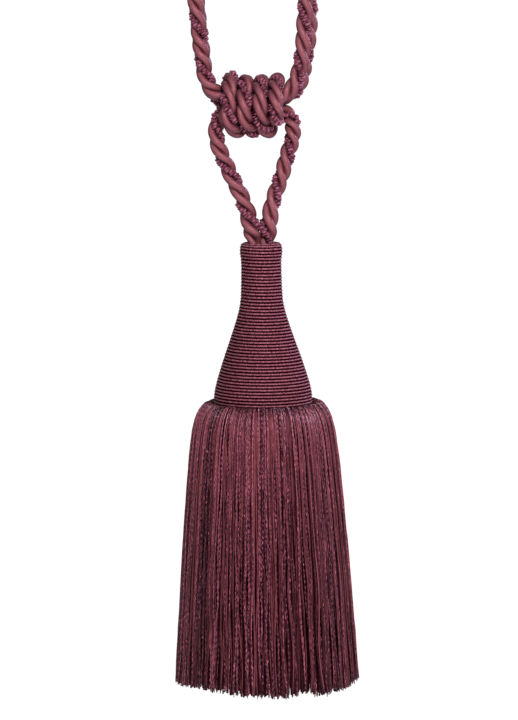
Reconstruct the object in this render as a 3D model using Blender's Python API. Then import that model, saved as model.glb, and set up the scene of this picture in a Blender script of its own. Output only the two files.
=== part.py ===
# Tassel curtain tieback: a doubled rope with two hanging eyes, a barrel of wraps,
# a pair of rope legs, a turned and wound tassel head, and a cut fringe skirt.
# Metres, +Z up, the front faces -Y. The origin lies where a wall hook bears, midway
# between the two eyes. Tables and named sizes are in millimetres.

import math
import random
from collections import namedtuple

import bmesh
import bpy
from mathutils import Matrix, Vector
from mathutils.geometry import delaunay_2d_cdt
from numpy import interp

MM = 0.001
GAP = 0.3
FINE = 16
SHARP_ANGLE_DEG = 50.0

# Rope: three strands laid up in S, so they fall from upper left to lower right.
ROPE_RADIUS = 5.5
ROPE_LAY = 29.5
STEPS_PER_LAY = 9
STRANDS = 3
SIDES_PER_STRAND = 3
GROOVE_RATIO = 0.78
WRAPPED_RADIUS = 4.8
BORE_ROPE_RADIUS = 4.75
TUCKED_RADIUS = 4.0
NECK_ROPE_RADIUS = 4.4
# Over these distances the rope goes from squeezed to free: from the barrel's middle, above the tassel's neck,
# and from the barrel's axis.
FREE_OF_KNOT = (21.0, 30.0)
FREE_OF_NECK = (3.0, 15.0)
FREE_OF_BORE = (9.0, 16.0)

# Barrel of wraps, wound round the X axis.
KNOT_MID_X = -6.5
KNOT_Z = -96.5
KNOT_HALF_DEPTH = 17.0
KNOT_HALF_HEIGHT = 16.2
KNOT_PITCH = 10.3
KNOT_MID_TURN = 1.25
KNOT_HALF_TURNS = 1.81
KNOT_STEPS_PER_TURN = 24
# How far the first and the last wrap ride up over the top: turns, heights and shifts along X, and a width
# in turns.
TOP_RISES = ((-0.25, 2.3, 0.8), (2.75, 1.0, 0.0))
TOP_RISE_WIDTH = 0.11
# How far each wrap leans aside on its way round: part of a turn from its front's middle, and shift along X.
WRAP_SHIFTS = (
    (-0.5, 0.3), (-0.25, 1.9), (-0.12, -0.6), (0.0, -1.9), (0.09, -2.3), (0.25, 2.0), (0.5, 0.3),
)

# Tassel, in its own frame: the origin is the middle of the head's top, Z down its length.
HEAD_TOP_Z = -186.4
LEAN_DEG = -0.8
HEAD_LENGTH = 105.6
HEAD_SIDES = 40
HEAD_RINGS = 15
HEAD_LIP_RADIUS = 12.0
RECESS_RADIUS = 10.2
RECESS_DEPTH = 2.5

# Skirt: locks of fringe fused to a disc under the head.
DISC_RADIUS = 27.0
DISC_THICKNESS = 3.0
LOCK_GAP = 0.45
HEM_RAGGEDNESS = 1.6
INNER_ROW_TURN = 0.37
SAME_POINT = 1e-6
RANDOM_SEED = 7

Station = namedtuple("Station", "depth radius")
Lock = namedtuple("Lock", "depth radius thickness")
Row = namedtuple("Row", "count root_radius root_depth root_gap stations")

# The head's outer side: depth below its top, and radius.
HEAD_SIDE = (
    Station(1.6, 13.7),
    Station(6.0, 14.2),
    Station(13.0, 13.5),
    Station(27.0, 13.7),
    Station(37.0, 14.2),
    Station(45.0, 15.6),
    Station(53.0, 17.9),
    Station(64.0, 21.6),
    Station(80.0, 27.1),
    Station(94.0, 31.3),
    Station(101.0, 32.5),
    Station(HEAD_LENGTH, 32.4),
)

# The outer row of locks leaves the disc's wall, rolls over under the rim and falls.
SHOULDER_ROW = (
    Lock(106.2, 33.2, 1.3),
    Lock(104.7, 37.2, 1.8),
    Lock(109.4, 42.2, 2.2),
    Lock(118.5, 46.2, 2.8),
    Lock(136.0, 49.2, 3.5),
    Lock(195.0, 54.6, 5.5),
    Lock(291.5, 61.5, 8.4),
)
SHOULDER_COUNT = 84

# The inner rows leave the disc's underside.
INNER_ROWS = (
    Row(48, 23.5, 3.0, 0.9, (Lock(118.0, 38.0, 3.0), Lock(190.0, 47.6, 5.0), Lock(292.0, 52.5, 8.2))),
    Row(30, 16.0, 3.5, 1.0, (Lock(118.0, 26.5, 3.5), Lock(190.0, 40.4, 6.0), Lock(292.0, 43.6, 9.4))),
    Row(18, 8.5, 3.0, 0.9, (Lock(118.0, 15.5, 3.0), Lock(190.0, 30.0, 7.0), Lock(292.0, 33.6, 9.8))),
    Row(8, 3.5, 2.2, 0.9, (Lock(118.0, 7.0, 2.2), Lock(190.0, 18.5, 7.0), Lock(292.0, 23.0, 12.0))),
)

# Rope routes, point by point: x, y, z. The doubled rope starts and ends inside the barrel.
ARM_ROUTE = (
    (-4.9, -4.9, -91.1), (-12.0, -4.9, -91.1), (-19.0, -4.9, -91.0), (-25.0, -5.0, -89.9),
    (-30.2, -5.5, -86.4), (-34.2, -5.6, -81.6), (-36.4, -5.7, -75.8), (-38.0, -5.7, -67.5),
    (-39.6, -5.7, -55.5), (-41.2, -5.7, -41.0), (-42.8, -5.8, -26.5), (-43.2, -7.4, -18.5),
    (-43.4, -9.8, -11.0), (-43.4, -10.3, -4.0), (-43.3, -7.2, 2.8), (-43.2, 0.0, 5.5),
    (-43.1, 7.2, 2.8), (-43.0, 10.3, -4.0), (-42.8, 9.8, -11.0), (-42.6, 7.4, -18.5),
    (-42.3, 5.8, -26.5), (-41.0, 5.7, -40.0), (-39.4, 5.7, -54.0), (-38.0, 5.7, -66.5),
    (-36.9, 5.7, -75.5), (-34.6, 5.7, -81.5), (-31.3, 5.5, -88.0), (-26.6, 5.2, -92.6),
    (-20.8, 4.9, -93.0), (-14.5, 4.9, -91.7), (-6.5, 4.9, -91.2), (8.0, 4.9, -91.2),
    (14.0, 5.0, -90.9), (18.6, 5.2, -89.2), (23.0, 5.6, -86.2), (26.0, 5.7, -80.0),
    (28.5, 5.7, -69.8), (30.6, 5.7, -56.0), (31.9, 5.7, -42.0),
    (32.2, 5.8, -26.5), (32.2, 7.4, -18.5), (32.0, 9.8, -11.0), (31.8, 10.3, -4.0),
    (31.5, 7.2, 2.8), (31.1, 0.0, 5.5), (30.7, -7.2, 2.8), (30.4, -10.3, -4.0),
    (30.1, -9.8, -11.0), (29.6, -7.4, -18.5), (29.2, -5.8, -26.5), (28.6, -5.7, -38.0),
    (27.9, -5.7, -52.0), (26.7, -5.7, -63.0), (25.2, -5.7, -72.0), (22.8, -5.6, -79.8),
    (19.2, -5.4, -85.6), (14.4, -5.0, -89.9), (8.0, -4.9, -91.0), (1.0, -4.9, -91.1),
    (-4.1, -4.9, -91.1),
)

# The tassel's rope: up the left leg, through the barrel and down the right leg.
LEG_ROUTE = (
    (-4.9, 0.0, -188.4), (-5.1, 0.0, -183.1), (-6.6, -0.5, -176.0), (-9.3, -1.0, -165.3),
    (-13.2, -2.0, -154.9), (-17.7, -3.0, -145.3), (-22.0, -4.0, -136.6), (-26.2, -4.6, -127.4),
    (-28.9, -5.0, -117.4), (-29.2, -5.0, -109.6), (-27.6, -5.0, -103.7), (-24.2, -4.9, -100.8),
    (-19.3, -4.6, -100.9), (-13.0, -2.6, -102.1), (-6.5, 0.0, -102.7), (0.0, 2.6, -102.1),
    (6.8, 4.6, -100.9), (13.4, 4.9, -100.7), (18.2, 4.9, -102.6), (20.8, 4.7, -108.2),
    (20.7, 4.2, -116.4), (18.0, 3.5, -127.0), (15.1, 3.0, -137.0), (11.6, 2.2, -147.6),
    (8.3, 1.4, -158.0), (6.0, 0.8, -168.5), (4.8, 0.3, -178.0), (4.5, 0.0, -183.1),
    (4.5, 0.0, -188.4),
)

# The barrel's right tail, from its last wrap into the bore, in the barrel's own frame:
# x is from the barrel's middle. The left tail is this one turned half round Z.
TAIL_ROUTE = (
    (16.9, -12.2, -7.8), (16.9, -8.9, -7.9), (15.9, -6.4, -7.0), (14.2, -5.2, -6.1), (12.9, -4.9, -5.7),
)

ROSE = (0.32, 0.10, 0.125, 1.0)
PLUM = (0.20, 0.045, 0.075, 1.0)


def clear_scene():
    for item in list(bpy.data.objects):
        bpy.data.objects.remove(item, do_unlink=True)


def cloth_material(name, colour, roughness=0.75):
    material = bpy.data.materials.new(name)
    material.use_nodes = True
    shader = material.node_tree.nodes["Principled BSDF"]
    shader.inputs["Base Color"].default_value = colour
    shader.inputs["Roughness"].default_value = roughness
    shader.inputs["Metallic"].default_value = 0.0
    return material


def smoothstep(low, high, value):
    share = min(1.0, max(0.0, (value - low) / (high - low)))
    return share * share * (3.0 - 2.0 * share)


def curve_point(points, index, share):
    """A point of the smooth curve that passes through all the points."""
    last = len(points) - 1
    p1, p2 = points[index], points[index + 1]
    p0 = points[index - 1] if index > 0 else p1 * 2.0 - p2
    p3 = points[index + 2] if index + 2 <= last else p2 * 2.0 - p1
    a = p1 * 2.0
    b = (p2 - p0) * share
    c = (p0 * 2.0 - p1 * 5.0 + p2 * 4.0 - p3) * share ** 2
    d = (p1 * 3.0 - p0 - p2 * 3.0 + p3) * share ** 3
    return (a + b + c + d) * 0.5


def even_path(route, step):
    """Points about one step apart along the smooth curve through a route."""
    points = [Vector(point) for point in route]
    dense = [curve_point(points, i, k / FINE) for i in range(len(points) - 1) for k in range(FINE)]
    dense.append(points[-1])
    lengths = [0.0]
    for before, after in zip(dense, dense[1:]):
        lengths.append(lengths[-1] + (after - before).length)
    count = round(lengths[-1] / step)
    path = []
    place = 0
    for number in range(count + 1):
        target = lengths[-1] * number / count
        while place < len(dense) - 2 and lengths[place + 1] < target:
            place += 1
        share = (target - lengths[place]) / (lengths[place + 1] - lengths[place])
        path.append(dense[place].lerp(dense[place + 1], share))
    return path


def path_frames(path):
    """A tangent and an untwisted normal at each point of a path."""
    last = len(path) - 1
    tangents = [(path[min(i + 1, last)] - path[max(i - 1, 0)]).normalized() for i in range(last + 1)]
    normal = tangents[0].orthogonal().normalized()
    frames = [(tangents[0], normal)]
    for before, after in zip(tangents, tangents[1:]):
        normal = before.rotation_difference(after) @ normal
        normal = (normal - after * normal.dot(after)).normalized()
        frames.append((after, normal))
    return frames


def new_object(name, bm, material, parent=None):
    bmesh.ops.recalc_face_normals(bm, faces=bm.faces)
    mesh = bpy.data.meshes.new(name)
    bm.to_mesh(mesh)
    bm.free()
    mesh.transform(Matrix.Scale(MM, 4))
    mesh.materials.append(material)
    mesh.shade_smooth()
    mesh.set_sharp_from_angle(angle=math.radians(SHARP_ANGLE_DEG))
    item = bpy.data.objects.new(name, mesh)
    bpy.context.scene.collection.objects.link(item)
    item.parent = parent
    return item


def rope(name, route, radius_at, start_turn, material):
    """One closed solid of three strands' outline, twisted along a smooth route."""
    path = even_path(route, ROPE_LAY / STEPS_PER_LAY)
    step = sum((b - a).length for a, b in zip(path, path[1:])) / (len(path) - 1)
    sides = STRANDS * SIDES_PER_STRAND
    bm = bmesh.new()
    rings = []
    for number, (point, (tangent, normal)) in enumerate(zip(path, path_frames(path))):
        binormal = tangent.cross(normal)
        turn = 2.0 * math.pi * (start_turn - number * step / ROPE_LAY)
        radius = radius_at(point)
        ring = []
        for corner in range(sides):
            angle = turn + 2.0 * math.pi * corner / sides
            reach = radius if corner % SIDES_PER_STRAND == 0 else radius * GROOVE_RATIO
            offset = normal * math.cos(angle) + binormal * math.sin(angle)
            ring.append(bm.verts.new(point + offset * reach))
        rings.append(ring)
    for before, after in zip(rings, rings[1:]):
        for corner in range(sides):
            following = (corner + 1) % sides
            bm.faces.new((before[corner], before[following], after[following], after[corner]))
    bm.faces.new(rings[0])
    bm.faces.new(rings[-1])
    return new_object(name, bm, material)


def rope_radius(point):
    """The free rope's radius, less where the barrel or the tassel's neck squeezes it."""
    from_knot = (point - Vector((KNOT_MID_X, 0.0, KNOT_Z))).length
    loose = smoothstep(*FREE_OF_KNOT, from_knot)
    radius = BORE_ROPE_RADIUS + (ROPE_RADIUS - BORE_ROPE_RADIUS) * loose
    in_neck = 1.0 - smoothstep(*FREE_OF_NECK, point.z - HEAD_TOP_Z)
    return radius + (NECK_ROPE_RADIUS - radius) * in_neck


def wrap_radius(point):
    """The wraps' radius, less where a tail is tucked into the bore."""
    from_axis = math.hypot(point.y, point.z - KNOT_Z)
    tucked = 1.0 - smoothstep(*FREE_OF_BORE, from_axis)
    return WRAPPED_RADIUS + (TUCKED_RADIUS - WRAPPED_RADIUS) * tucked


def knot_point(turn):
    """A point of the wraps' leaning helix round X. A whole turn is the middle of a wrap's front."""
    angle = 2.0 * math.pi * turn
    near_tops = [math.exp(-((turn - top) / TOP_RISE_WIDTH) ** 2) for top, _, _ in TOP_RISES]
    rise = sum(near * height for near, (_, height, _) in zip(near_tops, TOP_RISES))
    shift = sum(near * aside for near, (_, _, aside) in zip(near_tops, TOP_RISES))
    shift += interp(turn - round(turn), *zip(*WRAP_SHIFTS))
    x = KNOT_MID_X + KNOT_PITCH * (turn - KNOT_MID_TURN) + shift
    y = -KNOT_HALF_DEPTH * math.cos(angle)
    return Vector((x, y, KNOT_Z - (KNOT_HALF_HEIGHT + rise) * math.sin(angle)))


def knot_route():
    """The wraps, with both tails tucked into the bore."""
    middle = Vector((KNOT_MID_X, 0.0, KNOT_Z))
    right_tail = [middle + Vector(point) for point in TAIL_ROUTE]
    left_tail = [middle + Vector((-x, -y, z)) for x, y, z in TAIL_ROUTE]
    steps = round(2.0 * KNOT_HALF_TURNS * KNOT_STEPS_PER_TURN)
    wraps = [knot_point(KNOT_MID_TURN + KNOT_HALF_TURNS * (2.0 * k / steps - 1.0)) for k in range(steps + 1)]
    return left_tail[::-1] + wraps + right_tail


def turned(name, outline, sides, material, parent):
    """A closed solid turned round Z from an outline of depths and radii, axis to axis."""
    bm = bmesh.new()
    rings = []
    for station in outline:
        count = sides if station.radius > 0.0 else 1
        ring = []
        for number in range(count):
            angle = 2.0 * math.pi * number / sides
            place = (station.radius * math.cos(angle), station.radius * math.sin(angle), -station.depth)
            ring.append(bm.verts.new(place))
        rings.append(ring)
    for upper, lower in zip(rings, rings[1:]):
        for number in range(sides):
            following = (number + 1) % sides
            corners = [upper[number % len(upper)], upper[following % len(upper)]]
            corners += [lower[following % len(lower)], lower[number % len(lower)]]
            bm.faces.new(list(dict.fromkeys(corners)))
    return new_object(name, bm, material, parent)


def head_outline():
    """The head's half section, from the recess for the ropes to the middle of its base."""
    side = [Vector(station) for station in HEAD_SIDE]
    outline = [Station(RECESS_DEPTH, 0.0), Station(RECESS_DEPTH, RECESS_RADIUS)]
    outline += [Station(0.0, RECESS_RADIUS), Station(0.0, HEAD_LIP_RADIUS)]
    spans = len(side) - 1
    for number in range(HEAD_RINGS + 1):
        place = spans * number / HEAD_RINGS
        index = min(int(place), spans - 1)
        point = curve_point(side, index, place - index)
        outline.append(Station(point.x, point.y))
    outline.append(Station(HEAD_LENGTH, 0.0))
    return outline


def polar(radius, angle, depth):
    return Vector((radius * math.cos(angle), radius * math.sin(angle), -depth))


def grow_lock(bm, root, angle, count, stations, hem_shift):
    """Grow one three-sided lock from a root triangle: two outer corners, then the inner one."""
    half_pitch = math.pi / count
    ring = root
    for number, station in enumerate(stations):
        last = number == len(stations) - 1
        depth = station.depth + (hem_shift if last else 0.0)
        before = stations[max(number - 1, 0)]
        after = stations[min(number + 1, len(stations) - 1)]
        along = Vector((after.radius - before.radius, after.depth - before.depth)).normalized()
        inner_radius = station.radius - along.y * station.thickness
        inner_depth = depth + along.x * station.thickness
        half_width = half_pitch - 0.5 * LOCK_GAP / station.radius
        corners = [
            polar(station.radius, angle - half_width, depth),
            polar(station.radius, angle + half_width, depth),
            polar(inner_radius, angle, inner_depth),
        ]
        following = [bm.verts.new(corner) for corner in corners]
        for k in range(3):
            m = (k + 1) % 3
            bm.faces.new((ring[k], ring[m], following[m], following[k]))
        ring = following
    bm.faces.new(ring)


def skirt(name, material, parent):
    """The disc under the head, and every lock of the fringe, as one solid."""
    ragged = random.Random(RANDOM_SEED)
    disc_top = HEAD_LENGTH + GAP
    disc_bottom = disc_top + DISC_THICKNESS
    step = 2.0 * math.pi / SHOULDER_COUNT
    bm = bmesh.new()
    upper = [bm.verts.new(polar(DISC_RADIUS, k * step, disc_top)) for k in range(SHOULDER_COUNT)]
    bm.faces.new(upper)

    # Root triangles of the inner rows, and the disc's underside meshed round them.
    flat = [Vector((DISC_RADIUS * math.cos((k + 0.5) * step), DISC_RADIUS * math.sin((k + 0.5) * step)))
            for k in range(SHOULDER_COUNT)]
    rim_edges = [(k, (k + 1) % SHOULDER_COUNT) for k in range(SHOULDER_COUNT)]
    roots = []
    inner_locks = []
    for row in INNER_ROWS:
        for number in range(row.count):
            angle = 2.0 * math.pi * (number + INNER_ROW_TURN) / row.count
            half_width = math.pi / row.count - 0.5 * row.root_gap / row.root_radius
            first = len(flat)
            for radius, turn in ((row.root_radius, -half_width), (row.root_radius, half_width),
                                 (row.root_radius - row.root_depth, 0.0)):
                flat.append(polar(radius, angle + turn, 0.0).to_2d())
            roots.append((first, first + 1, first + 2))
            inner_locks.append((row, angle, first))
    points, _, faces, sources, _, face_sources = delaunay_2d_cdt(flat, rim_edges, roots, 0, SAME_POINT)
    lower = [bm.verts.new((point.x, point.y, -disc_bottom)) for point in points]
    made_from = {source: lower[index] for index, group in enumerate(sources) for source in group}
    for face, group in zip(faces, face_sources):
        if not group:
            bm.faces.new([lower[index] for index in face])

    # The disc's wall is a band of triangles; each one that points down is a root.
    for k in range(SHOULDER_COUNT):
        following = (k + 1) % SHOULDER_COUNT
        bm.faces.new((made_from[k], made_from[following], upper[following]))
        root = [upper[k], upper[following], made_from[k]]
        shift = ragged.uniform(-HEM_RAGGEDNESS, HEM_RAGGEDNESS)
        grow_lock(bm, root, (k + 0.5) * step, SHOULDER_COUNT, SHOULDER_ROW, shift)
    for row, angle, first in inner_locks:
        root = [made_from[first + k] for k in range(3)]
        shift = ragged.uniform(-HEM_RAGGEDNESS, HEM_RAGGEDNESS)
        grow_lock(bm, root, angle, row.count, row.stations, shift)
    return new_object(name, bm, material, parent)


def build():
    clear_scene()
    rope_cloth = cloth_material("rope_yarn", ROSE)
    head_cloth = cloth_material("head_winding", PLUM)
    fringe = cloth_material("fringe_yarn", ROSE)

    rope("arm_cord", ARM_ROUTE, rope_radius, 0.10, rope_cloth)
    rope("leg_cord", LEG_ROUTE, rope_radius, 0.35, rope_cloth)
    rope("knot", knot_route(), wrap_radius, 0.0, rope_cloth)

    tassel = bpy.data.objects.new("tassel_frame", None)
    bpy.context.scene.collection.objects.link(tassel)
    tassel.location = (0.0, 0.0, HEAD_TOP_Z * MM)
    tassel.rotation_euler = (0.0, math.radians(LEAN_DEG), 0.0)
    turned("tassel_head", head_outline(), HEAD_SIDES, head_cloth, tassel)
    skirt("skirt", fringe, tassel)


build()
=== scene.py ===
"""Looks of the tassel curtain tieback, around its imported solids.

Lengths are millimetres unless a comment says metres. +Z is up and the front faces -Y. The rope routes and
the outlines of the head and the skirt are those of the part's source. Only the legs differ a little: just
above the neck they lie closer together.
"""

import math
from collections import namedtuple

import bpy
import numpy as np
from mathutils import Matrix, Vector


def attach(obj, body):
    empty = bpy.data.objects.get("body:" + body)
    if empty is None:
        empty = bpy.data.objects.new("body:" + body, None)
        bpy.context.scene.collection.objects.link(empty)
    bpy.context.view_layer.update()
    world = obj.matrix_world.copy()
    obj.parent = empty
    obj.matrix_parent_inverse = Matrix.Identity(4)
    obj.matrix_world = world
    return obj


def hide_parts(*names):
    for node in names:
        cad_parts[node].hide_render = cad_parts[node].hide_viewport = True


MM = 0.001
TURN = 2.0 * math.pi
FRONT = np.array((0.0, -1.0, 0.0))
RIGHT = np.array((1.0, 0.0, 0.0))
DOWN_LEFT = np.array((-0.55, 0.0, -0.83))
# The radius of the rings that close a turned shape on its axis.
AXIS = 0.001

SEEDS = {
    "arm_rope": 11, "leg_rope": 12, "knot_wraps": 13, "head_winding": 21, "bundles": 30, "fringe_smooth": 31,
    "fringe_under": 32, "fringe_crimped_a": 33, "fringe_crimped_b": 34, "fringe_middle": 35,
}

# Rope: two satin strands and one knobbly strand, laid up in S.
ROPE_RADIUS = 5.5
ROPE_LAY = 29.5
WRAPPED_RADIUS = 5.15
BORE_ROPE_RADIUS = 4.75
TUCKED_RADIUS = 4.0
NECK_ROPE_RADIUS = 5.2
# Over what distance the rope's radius changes: from the barrel's middle, above the neck, and from the
# barrel's axis.
BORE_EASE = (18.0, 25.0)
NECK_EASE = (0.5, 6.0)
TUCK_EASE = (9.0, 16.0)
# The legs are fuller just above the neck: by how much, at what height, and how far up and down.
LEG_SWELL = 0.95
LEG_SWELL_Z = -176.0
LEG_SWELL_REACH = 9.0
# Steps along a rope. A ply has a ring at each, a satin strand and the core at each fourth, and the path
# that rope() returns a point at each eighth.
FINE_STEP = 0.24
STRAND_EVERY = 4
PATH_EVERY = 8
STRAND_SIDES = 14
STRAND_OFFSET = 2.95
KNOBBLY_OFFSET = 3.15
STRAND_DEPTH = 2.6
STRAND_WIDTH = 3.15
STRAND_TAPER = 0.08
# The lay goes on this far past the rope's ends. Its changes are eased over a reach, in so many steps.
LAY_BEYOND = 60.0
EASE_REACH = 7.0
EASE_STEPS = 9
# The materials' places in a rope's list.
SATIN, KNOBBLY, CORE = 0, 1, 2

# Knobbly strand: crinkled plies round a core that is painted dark for the shade in the gaps between them.
CORE_RADIUS = 1.5
CORE_SIDES = 8
PLY_COUNT = 3
PLY_OFFSET = 1.2
PLY_PITCH = 7.5
CRINKLE_RADIUS = 0.72
CRINKLE_PERIOD = 2.3
# From the crinkles of one ply to those of the next, in periods.
CRINKLE_SHIFT = 0.37
YARN_RADIUS = 0.85
YARN_SIDES = 5
# What wanders along a ply: over what length, and how far to either side.
TURN_WANDER = (4.0, 0.5)
OFFSET_WANDER = (3.0, 0.2)
CRINKLE_WANDER = (2.2, 1.0)
REACH_WANDER = (1.7, 0.2)
KNOB_WANDER = (1.3, 1.0)
TONE_WANDER = (1.2, 0.18)
# How much thicker a ply is at a knob, its tone, and how much painted light makes it lighter out on a crinkle
# and at a knob.
KNOB_SWELL = 0.26
PLY_TONE = 0.48
CRINKLE_PAINTED_LIGHT = 0.28
KNOB_PAINTED_LIGHT = 0.16

# How far along a tube its fibres take to go once round it.
SATIN_TWIST = 55.0
PLY_TWIST = 3.0
WINDING_TWIST = 1.5
FRINGE_TWIST = 4.0
NO_TWIST = 1.0e9
# From one tube to the next on the map of its fibres, so that no two have the same ones.
NEXT_TUBE = 3.7

# Barrel of wraps, wound round the X axis.
KNOT_MID_X = -6.5
KNOT_Z = -96.5
KNOT_HALF_DEPTH = 17.0
KNOT_HALF_HEIGHT = 16.2
KNOT_PITCH = 10.3
KNOT_MID_TURN = 1.25
KNOT_HALF_TURNS = 1.81
KNOT_STEPS_PER_TURN = 24
# How far the first and the last wrap ride up over the top: turns, heights and shifts along X, and a width
# in turns.
TOP_RISES = ((-0.25, 2.3, 0.8), (2.75, 1.0, 0.0))
TOP_RISE_WIDTH = 0.11
# How far each wrap leans aside on its way round: part of a turn from its front's middle, and shift along X.
WRAP_SHIFTS = (
    (-0.5, 0.3), (-0.25, 1.9), (-0.12, -0.6), (0.0, -1.9), (0.09, -2.3), (0.25, 2.0), (0.5, 0.3),
)

# Tassel, in its own frame. The origin is the middle of the head's top, and depths are taken down from it.
HEAD_TOP_Z = -186.4
LEAN_DEG = -0.8
HEAD_LENGTH = 105.6
HEM_DEPTH = 291.5

# The head's outer side: depth, and radius. The winding goes on a little, to under the rim.
HEAD_SIDE = (
    (1.4, 10.4), (0.0, 11.2), (0.0, 12.2),
    (1.6, 13.7), (6.0, 14.2), (13.0, 13.5), (27.0, 13.7), (37.0, 14.2), (45.0, 15.6), (53.0, 17.9),
    (64.0, 21.6), (80.0, 27.1), (94.0, 31.3), (101.0, 32.5), (HEAD_LENGTH, 32.4),
)
UNDER_RIM = (HEAD_LENGTH + 1.6, 32.1)
# The core under the winding: how deep it lies, the seat of the ropes in its top, and the edge of its
# underside.
HEAD_CORE_INSET = 1.0
HEAD_SEAT = (2.5, 9.6)
HEAD_UNDERSIDE = (HEAD_LENGTH - 0.4, 31.0)
HEAD_CORE_FINE = 3
HEAD_CORE_SIDES = 48
WINDING_PITCH = 2.13
WINDING_STEPS = 72
# The winding starts a quarter turn round, at the back, and ends just short of the side's end.
WINDING_START = 0.25
WINDING_SHORT = 0.2
# How the cords wander down the side and in depth: over what part of a turn, and how far.
WINDING_WANDER = (0.23, 0.07)
INSET_WANDER = (0.17, 0.05)
LIGHT_CORD_RADIUS = 0.55
LIGHT_CORD_INSET = 0.5
LIGHT_CORD_SIDES = 7
DARK_CORD_RADIUS = 0.58
DARK_CORD_INSET = 0.86
DARK_CORD_SIDES = 5
# Half of the length over which the head's slope is taken, and the same for the skirt's.
HEAD_SLOPE_SPAN = 0.4
SKIRT_SLOPE_SPAN = 1.5
# The materials' places in the head's list.
LIGHT, DARK = 0, 1

# The skirt's outer side, from under the head's rim over the shoulder to the hem: depth, and radius.
SKIRT_SIDE = (
    (107.4, 27.0), (106.4, 33.2), (105.0, 37.2), (109.4, 42.2), (118.5, 46.2), (136.0, 49.2), (195.0, 54.6),
    (HEM_DEPTH, 61.5),
)
# The side goes on straight this far below the hem, for threads that are longer.
BELOW_HEM = 30.0
# The hem is cut a little short in places: degrees round from the front's middle, and by how much.
HEM_LIFTS = (
    (-120.0, 0.0), (-78.0, 1.9), (-65.0, 2.1), (-54.0, 3.1), (-47.0, 2.4), (-33.0, 2.4), (-26.0, 0.9),
    (-20.0, 0.6), (-12.0, 0.6), (0.0, 0.0), (15.0, -0.8), (21.0, 1.3), (27.0, 0.9), (33.0, -0.8),
    (42.0, -0.9), (48.0, 0.9), (55.0, -0.8), (64.0, 0.0), (78.0, 2.6), (90.0, 1.5), (120.0, 0.0),
)
# How uneven the cut is, and the most that a thread strays from it, in times of that.
RAGGED = 1.1
RAGGED_LIMIT = 2.5

# Outer fringe: bundles of threads, drawn together into locks. A bundle has threads of one kind.
BUNDLE_COUNT = 340
BUNDLE_WIDTHS = (0.55, 1.45)
BUNDLE_DEPTH = 2.6
# Above one, more of the bundles lie near the outside.
BUNDLE_DEPTH_POWER = 1.4
# How much narrower a bundle is where it hangs free than at the heading.
BUNDLE_GATHERS = (0.10, 0.42)
BUNDLE_STRAY = 0.004
# How much deeper the edges of a bundle lie than its middle, and how much painted shade darkens them.
BUNDLE_ROUNDING = 0.7
BUNDLE_EDGE_PAINTED_SHADE = 0.22
BUNDLE_TONE_SPREAD = 0.10
# The share of the bundles that differ in kind from the one before.
KIND_CHANGES = 0.68
LOCK_COUNT = 34
LOCK_PULLS = (0.02, 0.28)
# How much lighter the fringe is painted down its length, from its gathered top: a painted shadow under the
# head's rim, painted light over the shoulder, and painted shade towards the hem.
PAINTED_SHADING = (
    (0.0, -0.26), (12.0, -0.20), (20.0, 0.08), (30.0, 0.16), (45.0, 0.12), (90.0, -0.04), (200.0, -0.15),
)
# Where the threads come free of the heading, and from where a lock's pull and a bundle's sway grow.
FREE_AT = (3.0, 45.0)
LOW_FROM = 25.0
THREAD_DEPTH = 0.6
THREAD_SIDES = 3
THREAD_START = math.radians(60.0)
RING_JITTER = 0.35
# Sways of the threads: how far, and the shortest and the longest wave. The middle's is in radians.
DEPTH_SWAY = (0.3, 25.0, 60.0)
BUNDLE_SWAY = (2.2, 60.0, 190.0)
UNDER_SWAY = (1.5, 40.0, 120.0)
MIDDLE_SWAY = (0.03, 60.0, 140.0)
THREAD_WAVES = (25.0, 80.0)
WAVE_SHARES = (0.3, 1.0)

SMOOTH_THREADS = 6
SMOOTH_RINGS = 25
# Above one, the rings of a thread lie closer together over the shoulder.
SMOOTH_BUNCHING = 1.3
SMOOTH_SWAY = 0.5
SMOOTH_RADIUS = 0.30
SMOOTH_RADII = (0.8, 1.2)
SMOOTH_TONE = 0.44
SMOOTH_TONE_SPREAD = 0.25

CRIMPED_THREADS = 3
CRIMPED_RINGS = 112
CRIMPED_BUNCHING = 1.05
CRIMPED_SWAY = 0.6
CRIMPED_RADIUS = 0.33
CRIMPED_TONE = 0.41
CRIMPED_TONE_SPREAD = 0.17
CRIMP_SIZE = 0.26
CRIMP_SIZES = (0.5, 1.3)
CRIMP_FROM = (2.0, 10.0)
# How far the crimp's plane turns from ring to ring.
CRIMP_SWING = 0.5
# How much thicker the outward crimps are, and how much painted light makes them lighter.
CRIMP_SWELL = 0.2
CRIMP_PAINTED_LIGHT = 0.20
# How many of the crimps get a painted glint, and how much lighter it makes them.
BRIGHT_CRIMPS = 0.07
PAINTED_GLINT_TONE = 0.60

# Layer under the outer fringe, painted dark for the shade it lies in.
UNDER_COUNT = 900
UNDER_RINGS = 16
UNDER_INSETS = (4.0, 8.5)
# The share of its depth that the layer has at the heading.
UNDER_TOP_INSET = 0.35
UNDER_RADIUS = 0.6
UNDER_TONES = (0.0, 0.9)

# Fringe inside the skirt: its radii about the axis at the heading and at the hem, from the middle outwards.
MIDDLE_COUNT = 850
MIDDLE_RINGS = 12
MIDDLE_ROOTS = (1.0, 25.0)
MIDDLE_ENDS = (2.0, 54.0)
MIDDLE_STRAY = 1.5
MIDDLE_BOTTOM = 290.5
MIDDLE_RAGGED = 1.2
MIDDLE_RAGGED_LIMIT = 3.0
# Above one, the threads spread early on their way down.
MIDDLE_SPREADING = 1.9
MIDDLE_RADIUS = 0.62
MIDDLE_TONES = (0.1, 0.8)
HEADING_TOP = HEAD_LENGTH + 0.3
HEADING_BOTTOM = HEADING_TOP + 3.0
HEADING_RADIUS = 27.0
HEADING_SIDES = 84
HEADING_TONE = 0.2
MIDDLE_TOP = HEAD_LENGTH + 2.0

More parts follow.
